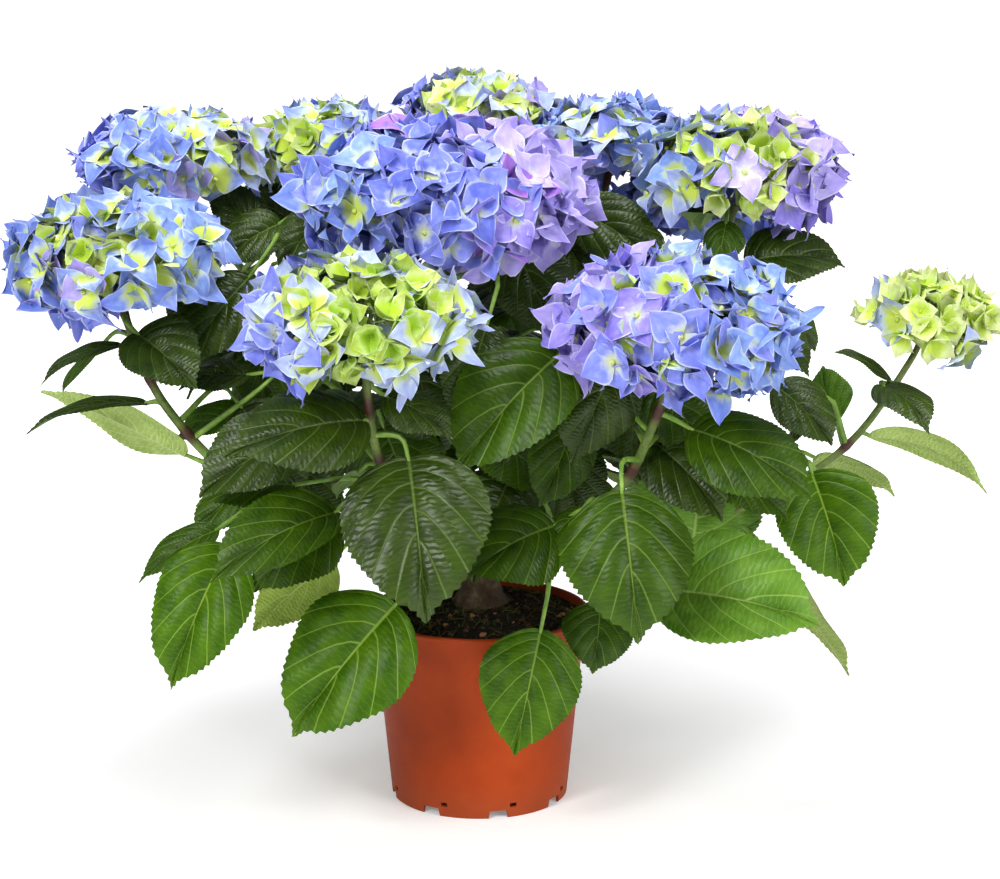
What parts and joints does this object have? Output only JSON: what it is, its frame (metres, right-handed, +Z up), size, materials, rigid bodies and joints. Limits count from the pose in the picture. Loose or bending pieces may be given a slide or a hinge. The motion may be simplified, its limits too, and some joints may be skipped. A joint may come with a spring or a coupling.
{
  "type": "potted hydrangea shrub",
  "caption": "Mophead hydrangea in flower: a wide leafy shrub with domed blue, violet and lime flower heads, standing in a tapered terracotta-coloured plastic nursery pot.",
  "frame": {"origin": "centre of the pot's underside, on the surface it stands on", "axes": "+Z up, -Y towards the side the plant is shown from, +X to its right"},
  "size_m": [0.622, 0.4843, 0.4643],
  "materials": {
    "pot": "satin moulded polypropylene, terracotta orange",
    "soil": "moist dark peat compost, crumbly, with some moss",
    "bark": "thin flaking grey-brown bark",
    "shoot": "smooth green shoot with reddish joints",
    "floret_blue": "thin satin sepals, mid blue",
    "floret_violet": "thin satin sepals, violet blue",
    "floret_lime": "thin satin sepals, lime yellow opening to pale blue",
    "leaf_mid": "glossy quilted leaf, mid green",
    "leaf_dark": "glossy quilted leaf, dark green",
    "leaf_bright": "satin young leaf, bright green",
    "leaf_pale": "matt pale green underside of a leaf"
  },
  "bodies": {
    "root": {"pot": "pot", "soil": "soil", "stock": "bark", "shoot_back_right": "shoot", "shoot_centre": "shoot", "shoot_far_right": "shoot", "shoot_front_left": "shoot", "shoot_front_right": "shoot", "shoot_left": "shoot", "shoot_left_back": "shoot", "shoot_mid_left": "shoot", "shoot_rear": "shoot", "shoot_rear_left": "shoot", "shoot_rear_right": "shoot", "shoot_right": "shoot", "shoot_top": "shoot", "head_back_right": "floret_blue", "head_centre": "floret_violet", "head_far_right": "floret_lime", "head_front_left": "floret_lime", "head_front_right": "floret_violet", "head_left": "floret_blue", "head_left_back": "floret_blue", "head_mid_left": "floret_lime", "head_rear": "floret_violet", "head_rear_left": "floret_blue", "head_rear_right": "floret_blue", "head_right": "floret_violet", "head_top": "floret_violet", "leaf_far_left_edge": "leaf_mid", "leaf_far_left_long": "leaf_pale", "leaf_far_left_top": "leaf_dark", "leaf_far_right_arching": "leaf_pale", "leaf_far_right_dark": "leaf_dark", "leaf_front_left_low": "leaf_dark", "leaf_front_middle": "leaf_mid", "leaf_front_right_low": "leaf_mid", "leaf_left_curled": "leaf_mid", "leaf_left_low": "leaf_bright", "leaf_pot_front": "leaf_mid", "leaf_pot_left": "leaf_mid", "leaf_pot_right": "leaf_dark", "leaf_right_back_low": "leaf_pale", "leaf_right_hanging": "leaf_mid", "leaf_right_low": "leaf_bright", "leaf_right_shoulder": "leaf_dark", "leaf_under_front_head": "leaf_dark", "foliage_front": "leaf_mid", "foliage_front_left": "leaf_mid", "foliage_front_right": "leaf_mid", "foliage_left": "leaf_dark", "foliage_low_left": "leaf_pale", "foliage_low_right": "leaf_bright", "foliage_rear": "leaf_dark", "foliage_rear_left": "leaf_mid", "foliage_rear_right": "leaf_mid", "foliage_right": "leaf_dark", "foliage_right_outer": "leaf_mid", "foliage_upper": "leaf_dark"}
  },
  "joints": []
}
